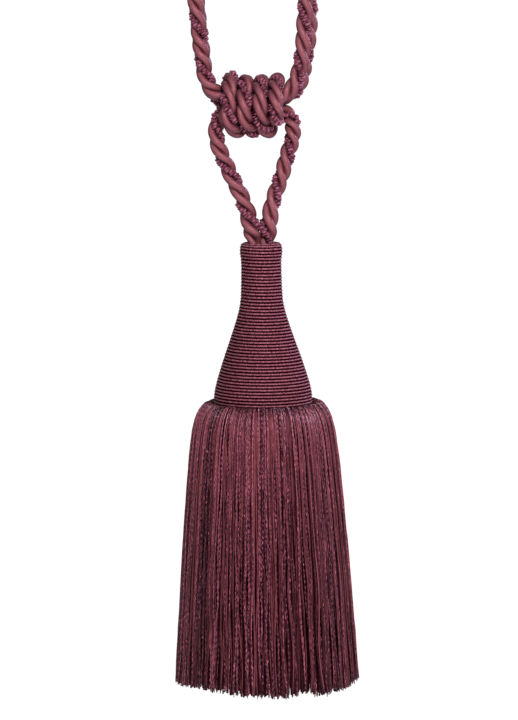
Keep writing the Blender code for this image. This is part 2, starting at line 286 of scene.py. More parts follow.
# Rope routes, point by point: x, y, z.
ARM_ROUTE = (
    (-4.9, -4.9, -91.1), (-12.0, -4.9, -91.1), (-19.0, -4.9, -91.0), (-25.0, -5.0, -89.9),
    (-30.2, -5.5, -86.4), (-34.2, -5.6, -81.6), (-36.4, -5.7, -75.8), (-38.0, -5.7, -67.5),
    (-39.6, -5.7, -55.5), (-41.2, -5.7, -41.0), (-42.8, -5.8, -26.5), (-43.2, -7.4, -18.5),
    (-43.4, -9.8, -11.0), (-43.4, -10.3, -4.0), (-43.3, -7.2, 2.8), (-43.2, 0.0, 5.5),
    (-43.1, 7.2, 2.8), (-43.0, 10.3, -4.0), (-42.8, 9.8, -11.0), (-42.6, 7.4, -18.5),
    (-42.3, 5.8, -26.5), (-41.0, 5.7, -40.0), (-39.4, 5.7, -54.0), (-38.0, 5.7, -66.5),
    (-36.9, 5.7, -75.5), (-34.6, 5.7, -81.5), (-31.3, 5.5, -88.0), (-26.6, 5.2, -92.6),
    (-20.8, 4.9, -93.0), (-14.5, 4.9, -91.7), (-6.5, 4.9, -91.2), (8.0, 4.9, -91.2),
    (14.0, 5.0, -90.9), (18.6, 5.2, -89.2), (23.0, 5.6, -86.2), (26.0, 5.7, -80.0),
    (28.5, 5.7, -69.8), (30.6, 5.7, -56.0), (31.9, 5.7, -42.0),
    (32.2, 5.8, -26.5), (32.2, 7.4, -18.5), (32.0, 9.8, -11.0), (31.8, 10.3, -4.0),
    (31.5, 7.2, 2.8), (31.1, 0.0, 5.5), (30.7, -7.2, 2.8), (30.4, -10.3, -4.0),
    (30.1, -9.8, -11.0), (29.6, -7.4, -18.5), (29.2, -5.8, -26.5), (28.6, -5.7, -38.0),
    (27.9, -5.7, -52.0), (26.7, -5.7, -63.0), (25.2, -5.7, -72.0), (22.8, -5.6, -79.8),
    (19.2, -5.4, -85.6), (14.4, -5.0, -89.9), (8.0, -4.9, -91.0), (1.0, -4.9, -91.1),
    (-4.1, -4.9, -91.1),
)
LEG_ROUTE = (
    (-4.9, 0.0, -188.4), (-4.9, 0.0, -183.1), (-6.1, -0.5, -176.0), (-9.3, -1.0, -165.3),
    (-13.2, -2.0, -154.9), (-17.7, -3.0, -145.3), (-22.0, -4.0, -136.6), (-26.2, -4.6, -127.4),
    (-28.9, -5.0, -117.4), (-29.2, -5.0, -109.6), (-27.6, -5.0, -103.7), (-24.2, -4.9, -100.8),
    (-19.3, -4.6, -100.9), (-13.0, -2.6, -102.1), (-6.5, 0.0, -102.7), (0.0, 2.6, -102.1),
    (6.8, 4.6, -100.9), (13.4, 4.9, -100.7), (18.2, 4.9, -102.6), (20.8, 4.7, -108.2),
    (20.7, 4.2, -116.4), (18.0, 3.5, -127.0), (15.1, 3.0, -137.0), (11.6, 2.2, -147.6),
    (8.3, 1.4, -158.0), (5.8, 0.8, -168.5), (4.4, 0.3, -178.0), (4.3, 0.0, -183.1),
    (4.5, 0.0, -188.4),
)
# The right tail of the wraps, from the barrel's middle. The left one is the same, turned half round Z.
TAIL_ROUTE = (
    (16.9, -12.2, -7.8), (16.9, -8.9, -7.9), (15.9, -6.4, -7.0), (14.2, -5.2, -6.1), (12.9, -4.9, -5.7),
)

# Where the knobbly strand faces the front on the arms and the legs: x, y, z near the rope's middle.
ARM_FACINGS = ((-41.0, -5.7, -45.0), (-38.4, -5.7, -72.6), (28.6, -5.7, -39.2), (25.3, -5.7, -72.2))
# Where it faces to the right on the rope behind the right arm.
SIDE_FACINGS = ((31.9, 5.7, -33.2), (29.4, 5.7, -64.2))
# Where it faces down to the left on the rope behind the left arm, just before the barrel.
BEND_FACING = (-26.8, 5.2, -92.5)
LEG_FACINGS = (
    (-7.8, -1.0, -168.4), (-21.4, -4.0, -138.0), (-30.0, -5.0, -109.5),
    (17.0, 4.9, -102.8), (18.3, 3.9, -123.7), (9.9, 2.0, -151.0), (4.6, 0.1, -183.0),
)
# Where it faces outwards on the wraps, in turns: a whole number is the middle of a wrap's front.
KNOT_FACINGS = (-0.28, 0.015, 0.885, 1.19, 1.81, 2.13, 2.80, 3.07)

# Camera: it looks at the centre from a distance in metres, through a lens whose length is in millimetres.
VIEW_CENTRE = (-1.3, 0.0, -264.1)
VIEW_DISTANCE = 3.4
VIEW_ELEVATION_DEG = 6.5
VIEW_LENS = 257.6
VIEW_END = 200.0

# Studio, in metres. Its lamps: name, place, size, power and colour.
LAMPS = (
    ("key", (0.6, -2.15, 1.2), 0.8, 40.5, (1.0, 0.98, 0.97)),
    ("rim", (1.4, 0.8, 0.3), 0.7, 15.0, (0.84, 0.68, 1.0)),
)
SEEN_WHITE = 1.05
FILL_FROM_BELOW = 0.12
FILL_FROM_ABOVE = 0.58
FLOOR_Z = -1.0
FLOOR_HALF = 2.0
FLOOR_COLOUR = (0.96, 0.96, 0.96, 1.0)
FLOOR_ROUGHNESS = 0.9

# Yarn materials: tints, the noise's range that becomes fibres, and how high the fibres stand, in metres.
LILAC = (0.80, 0.62, 0.86, 1.0)
PINK = (1.0, 0.62, 0.72, 1.0)
SHEEN_ROUGHNESS = 0.3
FIBRE_RANGE = (0.36, 0.64)
FIBRE_DETAIL = 3.0
FIBRE_ROUGHNESS = 0.65
FIBRE_HEIGHT = 0.2 * MM
FACING_BLEND = 0.5

Tubes = namedtuple("Tubes", "rings along material tones twist")
Bundles = namedtuple("Bundles", "angles halves insets gathers pulls tones crimped")
Yarn = namedtuple("Yarn", "dark light roughness specular sheen fibres length contrast bump edge")

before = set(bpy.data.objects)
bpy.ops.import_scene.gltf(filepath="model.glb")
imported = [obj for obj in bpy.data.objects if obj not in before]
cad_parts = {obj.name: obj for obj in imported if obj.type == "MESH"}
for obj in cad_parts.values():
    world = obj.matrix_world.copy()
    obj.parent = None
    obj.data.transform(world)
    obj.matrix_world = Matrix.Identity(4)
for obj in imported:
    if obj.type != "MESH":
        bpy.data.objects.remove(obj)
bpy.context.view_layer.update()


# Numbers along a path

def smoothstep(low, high, value):
    share = np.clip((value - low) / (high - low), 0.0, 1.0)
    return share * share * (3.0 - 2.0 * share)


def unit(vectors):
    return vectors / np.linalg.norm(vectors, axis=-1, keepdims=True)


def smooth_curve(points, fine=16):
    """Points of the smooth curve that passes through all the given ones."""
    points = np.array(points, float)
    ends = np.vstack((2.0 * points[0] - points[1], points, 2.0 * points[-1] - points[-2]))
    p0, p1, p2, p3 = (ends[k:len(ends) - 3 + k, None] for k in range(4))
    share = (np.arange(fine) / fine)[None, :, None]
    dense = p1 * 2.0 + (p2 - p0) * share
    dense = dense + (p0 * 2.0 - p1 * 5.0 + p2 * 4.0 - p3) * share ** 2
    dense = dense + (p1 * 3.0 - p0 - p2 * 3.0 + p3) * share ** 3
    return np.vstack((dense.reshape(-1, points.shape[1]) * 0.5, points[-1:]))


def path_lengths(points):
    steps = np.linalg.norm(np.diff(points, axis=0), axis=1)
    return np.concatenate(((0.0,), np.cumsum(steps)))


def along_curve(points, lengths, places):
    return np.stack([np.interp(places, lengths, column) for column in points.T], axis=-1)


def even_path(route, step):
    """Points about one step apart along the smooth curve through a route, and their places along it."""
    dense = smooth_curve(route)
    lengths = path_lengths(dense)
    places = np.linspace(0.0, lengths[-1], round(lengths[-1] / step) + 1)
    return along_curve(dense, lengths, places), places


def path_frames(path):
    """The tangent, and an untwisted normal and binormal, at each point of a path."""
    tangents = unit(np.gradient(path, axis=0))
    normals = np.empty_like(path)
    normal = np.cross(tangents[0], (0.31, 0.57, 0.76))
    for number, tangent in enumerate(tangents):
        normal = normal - tangent * (normal @ tangent)
        normal = normal / np.linalg.norm(normal)
        normals[number] = normal
    return tangents, normals, np.cross(tangents, normals)


def wander(rng, places, spacing, size):
    """A smooth random number along a path, one new value each spacing."""
    knots = np.arange(places[0] - spacing, places[-1] + 2.0 * spacing, spacing)
    values = rng.uniform(-size, size, len(knots))
    position = (places - knots[0]) / spacing
    index = np.minimum(position.astype(int), len(knots) - 2)
    share = position - index
    share = share * share * (3.0 - 2.0 * share)
    return values[index] * (1.0 - share) + values[index + 1] * share


# Meshes

def tube_rings(centres, across, radius, sides, start=0.0):
    """Rings round a line of centres. The across vectors say which way a ring's first corner looks."""
    tangents = unit(np.gradient(centres, axis=-2))
    normals = unit(across - tangents * np.sum(across * tangents, axis=-1, keepdims=True))
    binormals = np.cross(tangents, normals)
    angles = (start + TURN * np.arange(sides) / sides)[:, None]
    radius = np.broadcast_to(radius, centres.shape[:-1])[..., None, None]
    outward = normals[..., None, :] * np.cos(angles) + binormals[..., None, :] * np.sin(angles)
    return centres[..., None, :] + outward * radius


def piece(name, batches, materials, place=Matrix.Identity(4)):
    """One mesh from batches of closed tubes. It keeps the tone of each ring, and a map of where a point is
    round and along its tube: once round is 1, and a millimetre along is 1."""
    points, corners, sizes, slots, maps, tones = [], [], [], [], [], []
    first = 0
    for batch in batches:
        count, rings, sides, _ = batch.rings.shape
        number = first + np.arange(count * rings * sides).reshape(count, rings, sides)
        following = np.roll(number, -1, axis=2)
        quads = np.stack((number[:, :-1], following[:, :-1], following[:, 1:], number[:, 1:]), axis=-1)
        along = np.broadcast_to(batch.along[..., None], number.shape)
        around = np.arange(sides) / sides + along / batch.twist + NEXT_TUBE * np.arange(count)[:, None, None]
        after = around + 1.0 / sides
        quad_around = np.stack((around[:, :-1], after[:, :-1], after[:, 1:], around[:, 1:]), axis=-1)
        quad_along = np.stack((along[:, :-1], along[:, :-1], along[:, 1:], along[:, 1:]), axis=-1)
        caps = np.concatenate((number[:, 0, ::-1], number[:, -1]))
        cap_around = np.concatenate((around[:, 0, ::-1], around[:, -1]))
        cap_along = np.concatenate((along[:, 0, ::-1], along[:, -1]))
        points.append(batch.rings.reshape(-1, 3))
        corners += [quads.ravel(), caps.ravel()]
        sizes += [np.full(quads.size // 4, 4), np.full(len(caps), sides)]
        slots.append(np.full(quads.size // 4 + len(caps), batch.material))
        maps.append(np.stack((quad_around.ravel(), quad_along.ravel()), axis=-1))
        maps.append(np.stack((cap_around.ravel(), cap_along.ravel()), axis=-1))
        tones.append(np.repeat(np.broadcast_to(batch.tones, (count, rings)).ravel(), sides))
        first += number.size
    sizes = np.concatenate(sizes)
    mesh = bpy.data.meshes.new(name)
    mesh.vertices.add(first)
    mesh.vertices.foreach_set("co", np.concatenate(points).astype(np.float32).ravel() * MM)
    mesh.loops.add(int(sizes.sum()))
    mesh.loops.foreach_set("vertex_index", np.concatenate(corners).astype(np.int32))
    mesh.polygons.add(len(sizes))
    mesh.polygons.foreach_set("loop_start", (np.cumsum(sizes) - sizes).astype(np.int32))
    mesh.polygons.foreach_set("material_index", np.concatenate(slots).astype(np.int32))
    mesh.polygons.foreach_set("use_smooth", np.ones(len(sizes), bool))
    mesh.update(calc_edges=True)
    layer = mesh.uv_layers.new(name="Thread")
    layer.uv.foreach_set("vector", np.concatenate(maps).astype(np.float32).ravel())
    tone = mesh.attributes.new("tone", "FLOAT", "POINT")
    tone.data.foreach_set("value", np.concatenate(tones).astype(np.float32))
    mesh.transform(place)
    for material in materials:
        mesh.materials.append(material)
    item = bpy.data.objects.new(name, mesh)
    bpy.context.scene.collection.objects.link(item)
    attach(item, "root")
    return item


def one_tube(rings, along, material, tone=0.5, twist=NO_TWIST):
    return Tubes(rings[None], along[None], material, tone, twist)


def random_draws(name):
    return np.random.default_rng(SEEDS[name])


# Materials

def add_node(material, kind, **inputs):
    node = material.node_tree.nodes.new(kind)
    for name, value in inputs.items():
        node.inputs[name.replace("_", " ")].default_value = value
    return node


def yarn_material(name, yarn, middle=None):
    """Yarn whose fibres run along it. The colour goes from dark to light with its tone and its fibres, and
    has a painted shade where the surface turns away. The tone is the given one, or else each ring's own."""
    material = bpy.data.materials.new(name)
    material.use_nodes = True
    shader = material.node_tree.nodes["Principled BSDF"]
    link = material.node_tree.links.new
    shader.inputs["Roughness"].default_value = yarn.roughness
    shader.inputs["Specular IOR Level"].default_value = yarn.specular
    shader.inputs["Sheen Weight"].default_value = yarn.sheen
    shader.inputs["Sheen Roughness"].default_value = SHEEN_ROUGHNESS
    shader.inputs["Sheen Tint"].default_value = LILAC
    shader.inputs["Specular Tint"].default_value = PINK
    where = add_node(material, "ShaderNodeUVMap")
    where.uv_map = "Thread"
    stretch = add_node(material, "ShaderNodeMapping", Scale=(yarn.fibres, 1.0 / yarn.length, 1.0))
    link(where.outputs["UV"], stretch.inputs["Vector"])
    noise = add_node(material, "ShaderNodeTexNoise", Scale=1.0, Detail=FIBRE_DETAIL,
                     Roughness=FIBRE_ROUGHNESS)
    noise.noise_dimensions = "2D"
    link(stretch.outputs["Vector"], noise.inputs["Vector"])
    fibre = add_node(material, "ShaderNodeMapRange", From_Min=FIBRE_RANGE[0], From_Max=FIBRE_RANGE[1],
                     To_Min=-yarn.contrast, To_Max=yarn.contrast)
    link(noise.outputs["Fac"], fibre.inputs["Value"])
    # Painted shade: the colour darkens where the surface turns away from the view, by the yarn's edge.
    facing = add_node(material, "ShaderNodeLayerWeight", Blend=FACING_BLEND)
    edge = add_node(material, "ShaderNodeMapRange", From_Max=0.5, To_Max=-yarn.edge)
    link(facing.outputs["Facing"], edge.inputs["Value"])
    shade = add_node(material, "ShaderNodeMath")
    link(fibre.outputs["Result"], shade.inputs[0])
    link(edge.outputs["Result"], shade.inputs[1])
    total = add_node(material, "ShaderNodeMath")
    total.use_clamp = True
    link(shade.outputs["Value"], total.inputs[0])
    if middle is None:
        tone = add_node(material, "ShaderNodeAttribute")
        tone.attribute_name = "tone"
        link(tone.outputs["Fac"], total.inputs[1])
    else:
        total.inputs[1].default_value = middle
    ramp = add_node(material, "ShaderNodeValToRGB")
    ramp.color_ramp.elements[0].color = (*yarn.dark, 1.0)
    ramp.color_ramp.elements[1].color = (*yarn.light, 1.0)
    link(total.outputs["Value"], ramp.inputs["Fac"])
    link(ramp.outputs["Color"], shader.inputs["Base Color"])
    lift = add_node(material, "ShaderNodeBump", Strength=yarn.bump, Distance=FIBRE_HEIGHT)
    link(noise.outputs["Fac"], lift.inputs["Height"])
    link(lift.outputs["Normal"], shader.inputs["Normal"])
    return material


satin = yarn_material("rope_satin", Yarn(
    dark=(0.145, 0.030, 0.047), light=(0.52, 0.165, 0.195), roughness=0.36, specular=0.45, sheen=0.15,
    fibres=34.0, length=5.0, contrast=0.20, bump=0.6, edge=0.62), 0.66)
knobbly = yarn_material("rope_knobbly", Yarn(
    dark=(0.095, 0.016, 0.034), light=(0.56, 0.170, 0.265), roughness=0.42, specular=0.35, sheen=0.15,
    fibres=4.0, length=0.8, contrast=0.20, bump=0.8, edge=0.28))
# Painted shade: the core that shows between the plies is dark for the shade in those gaps.
knobbly_core = yarn_material("rope_knobbly_core", Yarn(
    dark=(0.10, 0.018, 0.037), light=(0.19, 0.040, 0.070), roughness=0.8, specular=0.1, sheen=0.0,
    fibres=8.0, length=2.0, contrast=0.25, bump=0.4, edge=0.0), 0.5)
light_cord = yarn_material("winding_light", Yarn(
    dark=(0.12, 0.020, 0.036), light=(0.66, 0.215, 0.285), roughness=0.45, specular=0.3, sheen=0.12,
    fibres=1.0, length=1.5, contrast=0.45, bump=1.0, edge=0.30), 0.60)
dark_cord = yarn_material("winding_dark", Yarn(
    dark=(0.014, 0.001, 0.004), light=(0.044, 0.003, 0.015), roughness=0.7, specular=0.0, sheen=0.0,
    fibres=3.0, length=1.0, contrast=0.25, bump=0.5, edge=0.0), 0.5)
fringe_smooth = yarn_material("fringe_smooth", Yarn(
    dark=(0.036, 0.004, 0.009), light=(0.45, 0.112, 0.142), roughness=0.38, specular=0.35, sheen=0.0,
    fibres=2.0, length=16.0, contrast=0.18, bump=0.3, edge=0.20))
fringe_crimped = yarn_material("fringe_crimped", Yarn(
    dark=(0.036, 0.003, 0.012), light=(0.72, 0.186, 0.276), roughness=0.24, specular=0.85, sheen=0.05,
    fibres=2.0, length=1.4, contrast=0.16, bump=0.4, edge=0.15))
# Painted shade: the threads under the outer fringe and inside the skirt are nearly black for the shade they
# lie in.
fringe_painted_shade = yarn_material("fringe_painted_shade", Yarn(
    dark=(0.015, 0.001, 0.004), light=(0.10, 0.018, 0.028), roughness=0.6, specular=0.1, sheen=0.0,
    fibres=2.0, length=16.0, contrast=0.15, bump=0.3, edge=0.0))


# Ropes

def nearest(path, point):
    return int(np.argmin(np.linalg.norm(path - np.array(point), axis=1)))


def strand_angles(path, places, frames, facings):
    """The knobbly strand's angle about the rope at each place. It faces each given way at its point, and
    makes as near to one turn each lay as that allows."""
    _, normals, binormals = frames
    known = []
    for point, outward in facings:
        index = nearest(path, point)
        known.append((places[index], math.atan2(binormals[index] @ outward, normals[index] @ outward)))
    known.sort()
    at = [known[0][0]]
    angles = [known[0][1]]
    for place, angle in known[1:]:
        expected = angles[-1] - TURN * (place - at[-1]) / ROPE_LAY
        angles.append(angle + TURN * round((expected - angle) / TURN))
        at.append(place)
    after = places[-1] + LAY_BEYOND
    first = angles[0] + TURN * (at[0] + LAY_BEYOND) / ROPE_LAY
    last = angles[-1] - TURN * (after - at[-1]) / ROPE_LAY
    angles = [first, *angles, last]
    at = [-LAY_BEYOND, *at, after]
    shifts = np.linspace(-EASE_REACH, EASE_REACH, EASE_STEPS)
    return np.mean([np.interp(places + shift, at, angles) for shift in shifts], axis=0)


def strand_frame(frames, angles):
    tangents, normals, binormals = frames
    out = normals * np.cos(angles)[:, None] + binormals * np.sin(angles)[:, None]
    return out, np.cross(tangents, out)


def satin_strand(path, places, frames, angles, radii):
    """A full oval strand, a little narrower on the side that faces the rope's middle."""
    pick = slice(None, None, STRAND_EVERY)
    out, aside = strand_frame(frames, angles)
    out, aside, scale = out[pick, None], aside[pick, None], (radii / ROPE_RADIUS)[pick, None, None]
    around = (TURN * np.arange(STRAND_SIDES) / STRAND_SIDES)[None, :, None]
    depth = STRAND_OFFSET + STRAND_DEPTH * np.cos(around)
    width = STRAND_WIDTH * np.sin(around) * (1.0 - STRAND_TAPER + STRAND_TAPER * np.cos(around))
    rings = path[pick, None] + (out * depth + aside * width) * scale
    return one_tube(rings, places[pick], SATIN, twist=SATIN_TWIST)


def knobbly_strand(path, places, frames, angles, radii, rng):
    """A core, painted dark for the shade in the gaps between the plies, with crinkled plies of uneven
    thickness twisted round it.
    """
    out, aside = strand_frame(frames, angles)
    scale = (radii / ROPE_RADIUS)[:, None]
    middle = path + out * scale * KNOBBLY_OFFSET
    pick = slice(None, None, STRAND_EVERY)
    core = tube_rings(middle[pick], out[pick], CORE_RADIUS * scale[pick, 0], CORE_SIDES)
    batches = [one_tube(core, places[pick], CORE)]
    for ply in range(PLY_COUNT):
        turn = TURN * (places / PLY_PITCH + ply / PLY_COUNT) + wander(rng, places, *TURN_WANDER)
        ply_out = out * np.cos(turn)[:, None] + aside * np.sin(turn)[:, None]
        ply_aside = aside * np.cos(turn)[:, None] - out * np.sin(turn)[:, None]
        offset = PLY_OFFSET + wander(rng, places, *OFFSET_WANDER)
        crinkle = TURN * (places / CRINKLE_PERIOD + ply * CRINKLE_SHIFT)
        crinkle = crinkle + wander(rng, places, *CRINKLE_WANDER)
        reach = CRINKLE_RADIUS + wander(rng, places, *REACH_WANDER)
        across = ply_out * np.cos(crinkle)[:, None] + ply_aside * np.sin(crinkle)[:, None]
        centres = middle + ply_out * scale * offset[:, None] + across * scale * reach[:, None]
        knob = wander(rng, places, *KNOB_WANDER)
        thickness = YARN_RADIUS * scale[:, 0] * (1.0 + KNOB_SWELL * knob)
        rings = tube_rings(centres, across, thickness, YARN_SIDES)
        # Painted light: a ply is lighter out on its crinkles and at its knobs, and darker between them.
        tone = PLY_TONE + CRINKLE_PAINTED_LIGHT * np.cos(crinkle) + KNOB_PAINTED_LIGHT * knob
        tone = tone + wander(rng, places, *TONE_WANDER)
        batches.append(one_tube(rings, places, KNOBBLY, tone, PLY_TWIST))
    return batches


def rope(name, route, radius_at, facings):
    """A rope along a route. Returns it with the length and the points of its route, in metres."""
    path, places = even_path(route, FINE_STEP)
    frames = path_frames(path)
    angles = strand_angles(path, places, frames, facings)
    radii = radius_at(path)
    batches = [satin_strand(path, places, frames, angles + TURN * k / 3.0, radii) for k in (1, 2)]
    batches += knobbly_strand(path, places, frames, angles, radii, random_draws(name))
    item = piece(name, batches, (satin, knobbly, knobbly_core))
    return item, places[-1] * MM, path[::PATH_EVERY] * MM


def rope_radius(path):
    """The arms' and the legs' radius, less where the barrel or the tassel's neck squeezes them."""
    from_knot = np.linalg.norm(path - np.array((KNOT_MID_X, 0.0, KNOT_Z)), axis=1)
    radius = BORE_ROPE_RADIUS + (ROPE_RADIUS - BORE_ROPE_RADIUS) * smoothstep(*BORE_EASE, from_knot)
    radius = radius + LEG_SWELL * np.exp(-((path[:, 2] - LEG_SWELL_Z) / LEG_SWELL_REACH) ** 2)
    in_neck = 1.0 - smoothstep(*NECK_EASE, path[:, 2] - HEAD_TOP_Z)
    return radius + (NECK_ROPE_RADIUS - radius) * in_neck


def wrap_radius(path):
    """The wraps' radius, less where a tail is tucked into the bore."""
    from_axis = np.hypot(path[:, 1], path[:, 2] - KNOT_Z)
    tucked = 1.0 - smoothstep(*TUCK_EASE, from_axis)
    return WRAPPED_RADIUS + (TUCKED_RADIUS - WRAPPED_RADIUS) * tucked


def knot_point(turn):
    """A point of the wraps' helix round X, and the way out from its axis."""
    angle = TURN * turn
    out = np.array((0.0, -math.cos(angle), -math.sin(angle)))
    near_tops = [math.exp(-((turn - top) / TOP_RISE_WIDTH) ** 2) for top, _, _ in TOP_RISES]
    rise = sum(near * height for near, (_, height, _) in zip(near_tops, TOP_RISES))
    shift = sum(near * aside for near, (_, _, aside) in zip(near_tops, TOP_RISES))
    shift += np.interp(turn - round(turn), *zip(*WRAP_SHIFTS))
    middle = np.array((KNOT_MID_X + KNOT_PITCH * (turn - KNOT_MID_TURN) + shift, 0.0, KNOT_Z))
    return middle + out * (0.0, KNOT_HALF_DEPTH, KNOT_HALF_HEIGHT + rise), out


def knot_route():
    middle = np.array((KNOT_MID_X, 0.0, KNOT_Z))
    right_tail = [middle + point for point in np.array(TAIL_ROUTE)]
    left_tail = [middle + point * (-1.0, -1.0, 1.0) for point in np.array(TAIL_ROUTE)]
    steps = round(2.0 * KNOT_HALF_TURNS * KNOT_STEPS_PER_TURN)
    turns = np.linspace(KNOT_MID_TURN - KNOT_HALF_TURNS, KNOT_MID_TURN + KNOT_HALF_TURNS, steps + 1)
    return left_tail[::-1] + [knot_point(turn)[0] for turn in turns] + right_tail


def build_ropes():
    facings = [(point, FRONT) for point in ARM_FACINGS] + [(point, RIGHT) for point in SIDE_FACINGS]
    facings.append((BEND_FACING, DOWN_LEFT))
    arms, length, line = rope("arm_rope", ARM_ROUTE, rope_radius, facings)
    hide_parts("arm_cord")
    legs, length, line = rope("leg_rope", LEG_ROUTE, rope_radius, [(point, FRONT) for point in LEG_FACINGS])
    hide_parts("leg_cord")
    wraps, _, _ = rope("knot_wraps", knot_route(), wrap_radius, [knot_point(turn) for turn in KNOT_FACINGS])
    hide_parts("knot")


# Tassel head

def tassel_place():
    lean = Matrix.Rotation(math.radians(LEAN_DEG), 4, "Y")
    return Matrix.Translation(Vector((0.0, 0.0, HEAD_TOP_Z * MM))) @ lean


def about_axis(radius, angle, depth):
    """Points at radii, angles and depths about the tassel's axis, and the way out from it at each."""
    out = np.stack((np.cos(angle), np.sin(angle), np.zeros_like(angle)), axis=-1)
    points = np.stack((radius * np.cos(angle), radius * np.sin(angle), -depth), axis=-1)
    return points, out


def turned_rings(outline, sides):
    """Rings of a shape turned round Z, from depths and radii that run down its side."""
    angles = -TURN * np.arange(sides) / sides
    depth, radius = np.array(outline, float).T
    x = radius[:, None] * np.cos(angles)
    y = radius[:, None] * np.sin(angles)
    return np.stack((x, y, np.broadcast_to(-depth[:, None], x.shape)), axis=-1)


def winding(side, lengths, last_place, inset, radius, sides, rng):
    """One cord wound round the head from its top to its rim. It falls to the right over the front."""
    count = int(last_place / WINDING_PITCH)
    turns = np.arange(0.0, count + 1.0, 1.0 / WINDING_STEPS)
    places = last_place - (count - turns + 0.5) * WINDING_PITCH + wander(rng, turns, *WINDING_WANDER)
    places = np.clip(places, 0.0, last_place)
    depth, reach = along_curve(side, lengths, places).T
    slope = along_curve(side, lengths, places + HEAD_SLOPE_SPAN)
    slope = unit(slope - along_curve(side, lengths, places - HEAD_SLOPE_SPAN))
    inset = inset + wander(rng, turns, *INSET_WANDER)
    centres, out = about_axis(reach - slope[:, 0] * inset, TURN * (turns + WINDING_START),
                              depth + slope[:, 1] * inset)
    across = out * slope[:, :1]
    across[:, 2] = slope[:, 1]
    return tube_rings(centres, across, radius, sides), path_lengths(centres)


def build_head():
    rng = random_draws("head_winding")
    side = smooth_curve((*HEAD_SIDE, UNDER_RIM))
    lengths = path_lengths(side)
    core_side = smooth_curve(HEAD_SIDE, HEAD_CORE_FINE)
    core_side[:, 1] -= HEAD_CORE_INSET
    outline = [(HEAD_SEAT[0], AXIS), HEAD_SEAT, *core_side[1:], HEAD_UNDERSIDE, (HEAD_UNDERSIDE[0], AXIS)]
    core = turned_rings(outline, HEAD_CORE_SIDES)
    last = lengths[-1] - WINDING_SHORT
    light, light_along = winding(side, lengths, last, LIGHT_CORD_INSET, LIGHT_CORD_RADIUS,
                                 LIGHT_CORD_SIDES, rng)
    dark, dark_along = winding(side, lengths, last - 0.5 * WINDING_PITCH, DARK_CORD_INSET,
                               DARK_CORD_RADIUS, DARK_CORD_SIDES, rng)
    batches = (
        one_tube(light, light_along, LIGHT, twist=WINDING_TWIST),
        one_tube(dark, dark_along, DARK, twist=WINDING_TWIST),
        one_tube(core, path_lengths(np.array(outline)), DARK),
    )
    head = piece("head_winding", batches, (light_cord, dark_cord), tassel_place())
    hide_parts("tassel_head")


# Skirt

def spread(rng, count):
    """Angles round the circle, evenly drawn but not evenly spaced."""
    return (np.arange(count) + rng.uniform(-0.5, 0.5, count)) * TURN / count


def skirt_side(places, insets):
    """Depth and radius of threads at places along the skirt's side, lying that deep under its surface."""
    side = smooth_curve(SKIRT_SIDE)
    lengths = path_lengths(side)
    end = side[-1] - side[-2]
    side = np.vstack((side, side[-1] + BELOW_HEM * end / np.linalg.norm(end)))
    lengths = np.append(lengths, lengths[-1] + BELOW_HEM)
    depth, radius = np.moveaxis(along_curve(side, lengths, places), -1, 0)
    ahead = along_curve(side, lengths, places + SKIRT_SLOPE_SPAN)
    behind = along_curve(side, lengths, np.maximum(places - SKIRT_SLOPE_SPAN, 0.0))
    slope = unit(ahead - behind)
    return depth + slope[..., 1] * insets, radius - slope[..., 0] * insets


SKIRT_LENGTH = float(path_lengths(smooth_curve(SKIRT_SIDE))[-1])


def hem_lift(angles):
    """How far the cut hem rises above its level at angles round the skirt."""
    from_front = np.degrees(np.mod(angles + 0.75 * TURN, TURN) - 0.5 * TURN)
    return np.interp(from_front, *zip(*HEM_LIFTS))


def thread_places(rng, angles, rings, bunching):
    """Places of each thread's rings along it, uneven, and closer together over the shoulder."""
    count = len(angles)
    most = RAGGED_LIMIT * RAGGED
    ends = SKIRT_LENGTH - hem_lift(angles) + np.clip(rng.normal(0.0, RAGGED, count), -most, most)
    steps = np.arange(rings) + rng.uniform(-RING_JITTER, RING_JITTER, (count, rings))
    steps[:, 0] = 0.0
    steps[:, -1] = rings - 1
    return ends[:, None] * (steps / (rings - 1)) ** bunching


def waves(rng, groups, places, size, shortest, longest):
    """A slow sway of its own for each group of threads, of two waves."""
    count = groups.max() + 1
    sway = np.zeros_like(places)
    for _ in range(2):
        wave = rng.uniform(shortest, longest, count)[groups, None]
        phase = rng.uniform(0.0, TURN, count)[groups, None]
        sway += np.sin(places * TURN / wave + phase) * rng.uniform(*WAVE_SHARES, count)[groups, None]
    return sway * size * 0.5


def lay_bundles(rng, count):
    """The skirt's outer yarns, side by side: where each hangs, how wide and deep it lies, and its looks."""
    widths = rng.uniform(*BUNDLE_WIDTHS, count)
    edges = np.concatenate(((0.0,), np.cumsum(widths))) * TURN / widths.sum()
    angles = 0.5 * (edges[1:] + edges[:-1])
    lock_edges = np.sort(spread(rng, LOCK_COUNT))
    lock_edges = np.concatenate((lock_edges, lock_edges[:1] + TURN))
    turned = np.mod(angles - lock_edges[0], TURN) + lock_edges[0]
    lock = np.clip(np.searchsorted(lock_edges, turned) - 1, 0, LOCK_COUNT - 1)
    middles = 0.5 * (lock_edges[lock] + lock_edges[lock + 1])
    pulls = (middles - turned) * rng.uniform(*LOCK_PULLS, LOCK_COUNT)[lock]
    pulls = pulls + rng.normal(0.0, BUNDLE_STRAY, count)
    insets = BUNDLE_DEPTH * rng.uniform(0.0, 1.0, count) ** BUNDLE_DEPTH_POWER
    gathers = rng.uniform(*BUNDLE_GATHERS, count)
    tones = rng.normal(0.0, 1.0, count)
    crimped = np.cumsum(rng.uniform(0.0, 1.0, count) < KIND_CHANGES) % 2 == 0
    return Bundles(angles, 0.5 * np.diff(edges), insets, gathers, pulls, tones, crimped)


